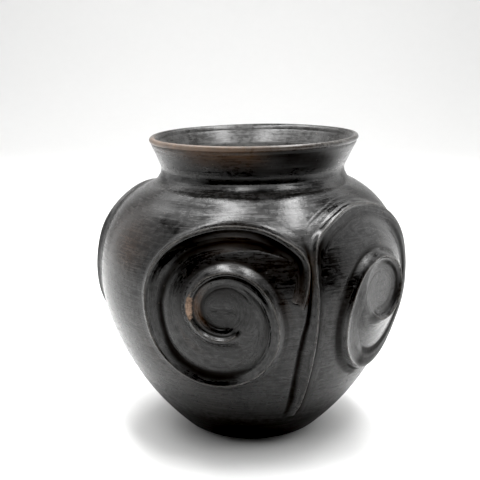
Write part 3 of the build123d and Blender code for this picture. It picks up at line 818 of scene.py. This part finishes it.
for index, (name, v) in enumerate(volutes.items()):
    w = w_grid(v)
    h = ridge_height(v, w)
    tt, pp = across(v, w)
    rho, _ = dish_polar(v, tt, pp)
    lift = h.copy()
    # the strip's edges dip just under the surface that they run into
    low, high = w_limits(v)
    edge = np.minimum(ramp(w, low, low + 2.4), 1 - ramp(w, high - 2.2, high))
    h = h + boss_height(rho, v["scale"]) - 0.05 * (1 - edge)
    stain = np.zeros(w.shape + (3,))
    wear_and_sheen = np.zeros(w.shape + (3,))
    # crest lines get a lighter colour: rubbed wear plus a painted highlight along the crest
    wear_and_sheen[..., 0] = np.exp(-(((w - 0.02) / 0.42) ** 2)) * ramp(lift, 0.6, 1.8)
    xyz = place(tt, pp, h)
    if v["hand"] < 0:
        # brown dust caught between the two lips where they meet over the stem
        side = (pp - v["stem"]) * np.interp(tt, PT, PR)
        level = v["z"][:, None]
        stain[..., 2] = np.exp(-(((side - np.interp(level, [97, 104, 110, 118], [-2.7, -1.3, -0.5, -0.4])) / 1.5) ** 2)) * ramp(level, 95, 101) * (1 - ramp(level, 119, 124))
    else:
        side = (pp - v["stem"]) * np.interp(tt, PT, PR)
        level = v["z"][:, None]
        stain[..., 2] = np.exp(-(((side - np.interp(level, [97, 104, 110, 118], [-2.7, -1.3, -0.5, -0.4])) / 1.5) ** 2)) * ramp(level, 95, 101) * (1 - ramp(level, 120, 124))
    if name == "front_left":
        # old chip on the inner lip, its broken face showing the body of the clay
        mid = int(np.argmin(np.abs(v["turn"] - 491.0)))
        ds = v["s"] - v["s"][mid]
        d = np.hypot(ds[:, None] / 6.8, (w + 0.2) / 1.8)
        ragged = 0.10 * np.sin(ds * 1.9)[:, None] + 0.07 * np.sin(ds * 4.3 + 1.0)[:, None] + 0.06 * np.sin(w * 3.1 + 0.4)
        chip = 1 - ramp(d + ragged, 0.82, 1.02)
        face = np.interp(w, [-2.2, -1.0, 0.0, 1.0, 1.8], [2.0, 2.15, 2.0, 1.6, 1.0]) + 0.10 * np.sin(ds * 2.3)[:, None] * np.cos(w * 2.2)
        cut = np.minimum(h, face + boss_height(rho, v["scale"]))
        h = mix(h, cut, chip)
        wear_and_sheen[..., 1] = chip * ramp(w, -2.0, -1.5)
        wear_and_sheen[..., 0] *= 1 - chip
        stain[..., 0] = np.maximum(stain[..., 0], 0.8 * np.exp(-((ds / 11.0)[:, None] ** 2)) * ramp(w, 1.5, 3.0) * (1 - ramp(w, 4.5, 6.5)))
        stain[..., 0] = np.maximum(stain[..., 0], 0.18 * near(xyz, (-8.2, -89.3, 98.0), 9.0))
    stain[..., 0] = np.maximum(stain[..., 0], 0.15 * near(xyz, (-38.7, -73.3, 126.8), 10.0))
    if v["hand"] > 0:
        wear_and_sheen[..., 0] *= np.where(v["turn"] < 0, ramp(v["z"], 98.0, 110.0), 1.0)[:, None]
    # painted shade in the valley of the left lips and under their top, and on the face of the right ones; also beside
    # the stems, kept off each stem's crest
    at = v["turn"][:, None]

    def patch(t0, t1, t2, t3, w0, w1, w2, w3, x=w):
        return ramp(at, t0, t1) * (1 - ramp(at, t2, t3)) * ramp(x, w0, w1) * (1 - ramp(x, w2, w3))

    if v["hand"] > 0:
        painted_shade_patch = 0.42 * patch(10, 28, 62, 98, 0.5, 1.3, 9.5, 11.8)
        painted_shade_patch = painted_shade_patch + 0.20 * patch(80, 108, 165, 190, 0.8, 4.0, 9.0, 15.5, side_w(v, w))
        painted_shade_patch = painted_shade_patch + 0.30 * patch(150, 178, 222, 266, 0.2, 1.6, 5.5, 10.5)
        painted_shade_patch = painted_shade_patch + 0.30 * patch(330, 360, 470, 520, 0.25, 0.6, 1.8, 2.4) - 0.35 * patch(245, 275, 318, 340, 3.6, 4.2, 5.6, 6.6)
        painted_shade_patch = painted_shade_patch + 0.14 * patch(540, 560, 625, 645, -2.6, -1.4, 0.2, 0.8) + 0.22 * patch(270, 300, 335, 356, -6.5, -4.5, -1.6, -0.7)
    else:
        wide = np.interp(at, [120, 180], [5.6, 9.6])
        edge_w = np.interp(at, [125, 160], [-0.2, -3.4])
        painted_shade_patch = 0.80 * patch(58, 88, 244, 268, edge_w, edge_w + 1.0, wide, wide + 2.4)
        painted_shade_patch = painted_shade_patch + 0.36 * patch(400, 430, 520, 560, 0.3, 0.9, 2.6, 4.2)
        painted_shade_patch = painted_shade_patch + 0.40 * patch(262, 292, 318, 348, -7.5, -5.0, -1.4, -0.6) + 0.30 * patch(222, 240, 262, 292, -8.0, -6.0, -2.4, -1.2)
        painted_shade_patch = painted_shade_patch - 0.1 * patch(0, 10, 46, 66, -6.6, -5.6, 0.0, 0.6)
        level = v["z"][:, None]
        ws = w * np.interp(level, STEM_Z, STEM_K)
        stem_rows = (at < 0) * ramp(level, 28, 40)
        painted_shade_patch = painted_shade_patch + stem_rows * (1 - ramp(level, 99, 106)) * 0.24 * ramp(ws, -12.2, -10.0) * (1 - ramp(ws, -6.6, -4.6)) * ramp(w, -12.4, -10.5)
        painted_shade_patch = painted_shade_patch - stem_rows * 0.45 * ramp(w, 0.15, 0.5) * (1 - ramp(w, 1.8, 2.6))
    kr = ramp(w, -5.0, -1.2) if v["hand"] > 0 else np.maximum(ramp(w, -5.0, -1.2), 0)
    cut_at = int(np.argmin(np.abs(v["z"] - 111.0) + 1e3 * (v["turn"] > 0)))
    if v["hand"] < 0:
        low, up = slice(0, cut_at + 1), slice(cut_at, None)
        pair = name.split("_")[0]
        pieces[pair + "_stem"] = strip_piece(pair + "_stem_clay", v, low, w, h, index + 1, kr, stain, wear_and_sheen, painted_shade_patch)
    else:
        up = slice(0, None)
    pieces[name + "_ridge"] = strip_piece(name + "_ridge_clay", v, up, w, h, index + 1, kr, stain, wear_and_sheen, painted_shade_patch)
    pieces[name + "_boss"] = boss_piece(name + "_boss_clay", v, index + 1)


# ------------------------------------------------------------------ material
mat = bpy.data.materials.new("burnished_blackware")
mat.use_nodes = True
nt = mat.node_tree
nt.nodes.clear()


def add(kind, **values):
    n = nt.nodes.new(kind)
    for key, value in values.items():
        setattr(n, key, value)
    return n


def link(source, target):
    nt.links.new(source, target)


def feed(socket, value):
    if isinstance(value, bpy.types.NodeSocket):
        link(value, socket)
    else:
        socket.default_value = value


def math_node(op, a, b=None, c=None, clamp=False):
    n = add("ShaderNodeMath", operation=op, use_clamp=clamp)
    for k, value in enumerate((a, b, c)):
        if value is not None:
            feed(n.inputs[k], value)
    return n.outputs[0]


def blend_value(k, a, b):
    n = add("ShaderNodeMix", data_type="FLOAT")
    feed(n.inputs[0], k)
    feed(n.inputs[2], a)
    feed(n.inputs[3], b)
    return n.outputs[0]


def blend_colour(k, a, b):
    n = add("ShaderNodeMix", data_type="RGBA")
    feed(n.inputs[0], k)
    feed(n.inputs[6], a)
    feed(n.inputs[7], b)
    return n.outputs[2]


def span_map(value, a, b, c=0.0, d=1.0, smooth_step=False):
    n = add("ShaderNodeMapRange", interpolation_type="SMOOTHSTEP" if smooth_step else "LINEAR", clamp=True)
    for k, x in enumerate((value, a, b, c, d)):
        feed(n.inputs[k], x)
    return n.outputs[0]


def noise(vector, scale, detail=2.0, rough=0.5):
    n = add("ShaderNodeTexNoise")
    link(vector, n.inputs["Vector"])
    n.inputs["Scale"].default_value = scale
    n.inputs["Detail"].default_value = detail
    n.inputs["Roughness"].default_value = rough
    return n.outputs["Fac"]


def attribute(name):
    return add("ShaderNodeAttribute", attribute_name=name)


st = attribute("st").outputs["Vector"]
sr = attribute("sr").outputs["Vector"]
kr = attribute("kr").outputs["Fac"]
stain = add("ShaderNodeSeparateXYZ")
link(attribute("stain").outputs["Vector"], stain.inputs[0])
wear_and_sheen = add("ShaderNodeSeparateXYZ")
link(attribute("wear_and_sheen").outputs["Vector"], wear_and_sheen.inputs[0])
brown, lip_brown, dust = stain.outputs[0], stain.outputs[1], stain.outputs[2]
crest, chip, inside_and_lit_band = wear_and_sheen.outputs[0], wear_and_sheen.outputs[1], wear_and_sheen.outputs[2]
# hollow: mask for painted shade and for the duller finish in the hollows
hollow = attribute("hollow").outputs["Fac"]
position = add("ShaderNodeTexCoord").outputs["Object"]


def along(scale, detail=2.0, rough=0.5):
    """Noise drawn out along the burnishing strokes."""
    return blend_value(kr, noise(st, scale, detail, rough), noise(sr, scale, detail, rough))


strokes = along(0.95, 3.0, 0.6)
fine = along(3.2, 2.0, 0.6)
broad = along(0.22, 2.0, 0.5)
cloud = noise(position, 34.0, 3.0, 0.55)
grain = noise(position, 1500.0, 2.0, 0.6)
mottle = noise(position, 300.0, 4.0, 0.62)


def spots(scale, low, high):
    n = add("ShaderNodeTexVoronoi", feature="F1")
    link(position, n.inputs["Vector"])
    n.inputs["Scale"].default_value = scale
    return span_map(n.outputs["Distance"], low, high, 1.0, 0.0, True)


pits = spots(112.0, 0.022, 0.062)
small_pits = math_node("MULTIPLY", spots(205.0, 0.030, 0.075), span_map(cloud, 0.46, 0.60))
pits = math_node("MAXIMUM", pits, small_pits)
specks = spots(137.0, 0.014, 0.034)

# colour: carbon black, greyed along the strokes, clouded by the fire
tone = math_node("ADD", math_node("MULTIPLY", strokes, 0.55), math_node("MULTIPLY", broad, 0.45))
tone = span_map(tone, 0.34, 0.68)
colour = blend_colour(tone, (0.0009, 0.0008, 0.0008, 1), (0.0044, 0.0040, 0.0037, 1))
colour = blend_colour(span_map(cloud, 0.50, 0.70, 0.0, 0.6, True), colour, (0.0062, 0.0050, 0.0041, 1))
brown_mask = math_node("MULTIPLY", brown, span_map(strokes, 0.28, 0.62, 0.25, 1.0), clamp=True)
colour = blend_colour(brown_mask, colour, (0.060, 0.033, 0.018, 1))
lip_mask = math_node("MULTIPLY", lip_brown, span_map(strokes, 0.25, 0.6, 0.45, 1.0), clamp=True)
colour = blend_colour(lip_mask, colour, (0.150, 0.104, 0.076, 1))
dust_mask = math_node("MULTIPLY", dust, span_map(grain, 0.36, 0.60), clamp=True)
colour = blend_colour(dust_mask, colour, (0.030, 0.021, 0.014, 1))
# crests lightened to grey: rubbed wear plus a painted highlight
crest_wear_sheen = math_node("MULTIPLY", crest, span_map(fine, 0.40, 0.66, 0.15, 0.9), clamp=True)
colour = blend_colour(crest_wear_sheen, colour, (0.085, 0.078, 0.070, 1))
chip_tone = blend_colour(span_map(math_node("ADD", math_node("MULTIPLY", grain, 0.5), math_node("MULTIPLY", mottle, 0.5)), 0.36, 0.62), (0.075, 0.048, 0.032, 1), (0.30, 0.205, 0.145, 1))
colour = blend_colour(chip, colour, chip_tone)
colour = blend_colour(math_node("MULTIPLY", specks, 0.8), colour, (0.30, 0.24, 0.19, 1))
colour = blend_colour(math_node("MULTIPLY", pits, 0.85), colour, (0.002, 0.0018, 0.0016, 1))
# interior grey, also laid thinly on the band below the neck ring as a painted reflection
inside = blend_colour(span_map(mottle, 0.35, 0.65), (0.060, 0.058, 0.055, 1), (0.125, 0.121, 0.115, 1))
colour = blend_colour(math_node("MULTIPLY", inside_and_lit_band, 0.9), colour, inside)

# painted shade: hollows, creases and the other marked places are set to a flat near-black, and made duller and less
# polished below
ragged = math_node("ADD", hollow, math_node("MULTIPLY", math_node("SUBTRACT", mottle, 0.5), 0.45))
shade_and_dull = span_map(ragged, 0.03, 0.80, 0.0, 1.0, True)
colour = blend_colour(math_node("MULTIPLY", shade_and_dull, 0.75), colour, (0.0030, 0.0023, 0.0018, 1))

# gloss: higher on the strokes, duller in the clouds, dust, chip and depths of the jar
gloss = math_node("ADD", span_map(strokes, 0.3, 0.7, 0.15, 0.34), math_node("MULTIPLY", math_node("SUBTRACT", cloud, 0.5), 0.16))
gloss = math_node("ADD", gloss, math_node("MULTIPLY", math_node("SUBTRACT", fine, 0.5), 0.12))
gloss = math_node("ADD", gloss, math_node("MULTIPLY", math_node("SUBTRACT", mottle, 0.5), 0.34))
gloss = blend_value(math_node("MULTIPLY", lip_mask, 0.6), gloss, 0.5)
gloss = blend_value(dust_mask, gloss, 0.85)
gloss = blend_value(chip, gloss, 0.85)
gloss = blend_value(inside_and_lit_band, gloss, 0.5)
gloss = blend_value(pits, gloss, 0.8)
gloss = blend_value(math_node("MULTIPLY", shade_and_dull, 0.7), gloss, 0.5)
# how well the stone has polished each patch
polish = math_node("ADD", math_node("MULTIPLY", mottle, 0.55), math_node("MULTIPLY", strokes, 0.45))
polish = span_map(polish, 0.36, 0.64, 0.23, 0.53)
# less specular in the painted-shade mask darkens those places further as painted shade; in the hollows it is also their
# dull unburnished finish
polish = math_node("MULTIPLY", polish, span_map(shade_and_dull, 0.0, 1.0, 1.0, 0.08))
polish = math_node("MULTIPLY", polish, span_map(brown_mask, 0.0, 1.0, 1.0, 0.45))

# relief of the surface, in millimetres
relief = math_node("ADD", math_node("MULTIPLY", strokes, 0.066), math_node("MULTIPLY", fine, 0.015))
relief = math_node("ADD", relief, math_node("MULTIPLY", broad, 0.15))
relief = math_node("ADD", relief, math_node("MULTIPLY", mottle, 0.085))
relief = math_node("ADD", relief, math_node("MULTIPLY", grain, blend_value(chip, 0.004, 0.06)))
relief = math_node("ADD", relief, math_node("MULTIPLY", grain, math_node("MULTIPLY", dust_mask, 0.03)))
relief = math_node("SUBTRACT", relief, math_node("MULTIPLY", pits, 0.30))
surface = add("ShaderNodeBump")
surface.inputs["Strength"].default_value = 1.0
surface.inputs["Distance"].default_value = MM
link(relief, surface.inputs["Height"])

bsdf = add("ShaderNodeBsdfPrincipled")
link(colour, bsdf.inputs["Base Color"])
link(gloss, bsdf.inputs["Roughness"])
link(surface.outputs["Normal"], bsdf.inputs["Normal"])
bsdf.inputs["IOR"].default_value = 1.5
link(polish, bsdf.inputs["Specular IOR Level"])
link(bsdf.outputs[0], add("ShaderNodeOutputMaterial").inputs[0])

for node_name, ob in pieces.items():
    ob.data.materials.append(mat)
    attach(ob, "root")
    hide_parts(node_name)

# ------------------------------------------------------------------ stage, light, camera
ca, sa = math.cos(CAM_AZ), math.sin(CAM_AZ)


def cam_frame(x, y, z):
    """A point given as right, away and up from the camera's side of the jar, in metres."""
    return (x * ca - y * sa, x * sa + y * ca, z)


floor_mesh = bpy.data.meshes.new("floor")
ys = np.concatenate([np.linspace(-1.05, 1.2, 34), 1.2 + 0.5 * np.sin(np.linspace(0.05, math.pi / 2, 16)), np.full(10, 1.7)])
zs = np.concatenate([np.zeros(34), 0.5 * (1 - np.cos(np.linspace(0.05, math.pi / 2, 16))), np.linspace(0.6, 2.4, 10)])
fv = [cam_frame(xx, yy, zz) for yy, zz in zip(ys, zs) for xx in np.linspace(-3.0, 3.0, 25)]
ff = [
    (i * 25 + j, i * 25 + j + 1, (i + 1) * 25 + j + 1, (i + 1) * 25 + j)
    for i in range(len(ys) - 1) for j in range(24)
]
floor_mesh.from_pydata(fv, [], ff)
floor_mesh.update()
floor_mesh.polygons.foreach_set("use_smooth", np.ones(len(ff), bool))
floor = bpy.data.objects.new("floor", floor_mesh)
bpy.context.scene.collection.objects.link(floor)
paper = bpy.data.materials.new("floor_paper")
paper.use_nodes = True
tree = paper.node_tree
paper_bsdf = tree.nodes["Principled BSDF"]
paper_bsdf.inputs["Roughness"].default_value = 0.9
paper_bsdf.inputs["Specular IOR Level"].default_value = 0.2
# faint cloudiness of matt paper; the sheet ends some way in front of the jar
where = tree.nodes.new("ShaderNodeTexCoord")
fibre = tree.nodes.new("ShaderNodeTexNoise")
fibre.inputs["Scale"].default_value = 60.0
fibre.inputs["Detail"].default_value = 4.0
tree.links.new(where.outputs["Object"], fibre.inputs["Vector"])
tint = tree.nodes.new("ShaderNodeMix")
tint.data_type = "RGBA"
tint.inputs[6].default_value = (0.855, 0.855, 0.85, 1)
tint.inputs[7].default_value = (0.875, 0.875, 0.87, 1)
tree.links.new(fibre.outputs["Fac"], tint.inputs[0])
tree.links.new(tint.outputs[2], paper_bsdf.inputs["Base Color"])
floor_mesh.materials.append(paper)


def area(name, where, size, size_y, radiance, target):
    light = bpy.data.lights.new(name, "AREA")
    light.shape = "RECTANGLE"
    light.size = size
    light.size_y = size_y
    light.energy = radiance * math.pi * size * size_y
    ob = bpy.data.objects.new(name, light)
    ob.location = cam_frame(*where)
    ob.rotation_euler = (Vector(cam_frame(*target)) - ob.location).to_track_quat("-Z", "Y").to_euler()
    bpy.context.scene.collection.objects.link(ob)


area("ceiling", (0.0, -0.02, 0.76), 1.0, 1.26, 2.6, (0, -0.02, 0.0))
area("bar_left", (-0.165, 0.02, 0.71), 0.09, 0.58, 24.0, (-0.165, 0.02, 0.0))
area("bar_right", (0.205, 0.02, 0.71), 0.09, 0.56, 24.0, (0.205, 0.02, 0.0))
area("side_left", (-0.52, 0.125, 0.28), 0.75, 0.56, 1.2, (0, 0.125, 0.24))
area("side_right", (0.52, 0.14, 0.28), 0.72, 0.56, 1.65, (0, 0.14, 0.24))
area("back_top", (0.0, 1.00, 1.25), 2.6, 1.0, 2.0, (0, 1.15, 0.0))
area("front_top", (0.0, -0.95, 1.25), 1.3, 0.35, 1.6, (0, -0.70, 0.0))

world = bpy.data.worlds.new("studio")
world.use_nodes = True
world.node_tree.nodes["Background"].inputs[0].default_value = (1, 1, 1, 1)
world.node_tree.nodes["Background"].inputs[1].default_value = 0.02
# the room around the sheet is pale where it is looked at, and too dim to light the jar
pale = world.node_tree.nodes.new("ShaderNodeBackground")
pale.inputs[0].default_value = (0.86, 0.86, 0.86, 1)
seen = world.node_tree.nodes.new("ShaderNodeLightPath")
room = world.node_tree.nodes.new("ShaderNodeMixShader")
world.node_tree.links.new(seen.outputs["Is Camera Ray"], room.inputs[0])
world.node_tree.links.new(world.node_tree.nodes["Background"].outputs[0], room.inputs[1])
world.node_tree.links.new(pale.outputs[0], room.inputs[2])
world.node_tree.links.new(room.outputs[0], world.node_tree.nodes["World Output"].inputs[0])
bpy.context.scene.world = world

cam = bpy.data.cameras.new("camera")
cam.sensor_width = 36.0
cam.lens = 75.0
cam_ob = bpy.data.objects.new("camera", cam)
bpy.context.scene.collection.objects.link(cam_ob)
cam_ob.location = cam_frame(-0.00677, -0.5846, 0.2470)
cam_ob.rotation_euler = (math.pi / 2 - math.radians(12.99), 0.0, CAM_AZ)
bpy.context.scene.camera = cam_ob
view = bpy.context.scene.view_settings
view.view_transform = "Standard"
view.use_curve_mapping = True
view.curve_mapping.black_level = (0.006, 0.006, 0.006)
view.curve_mapping.update()
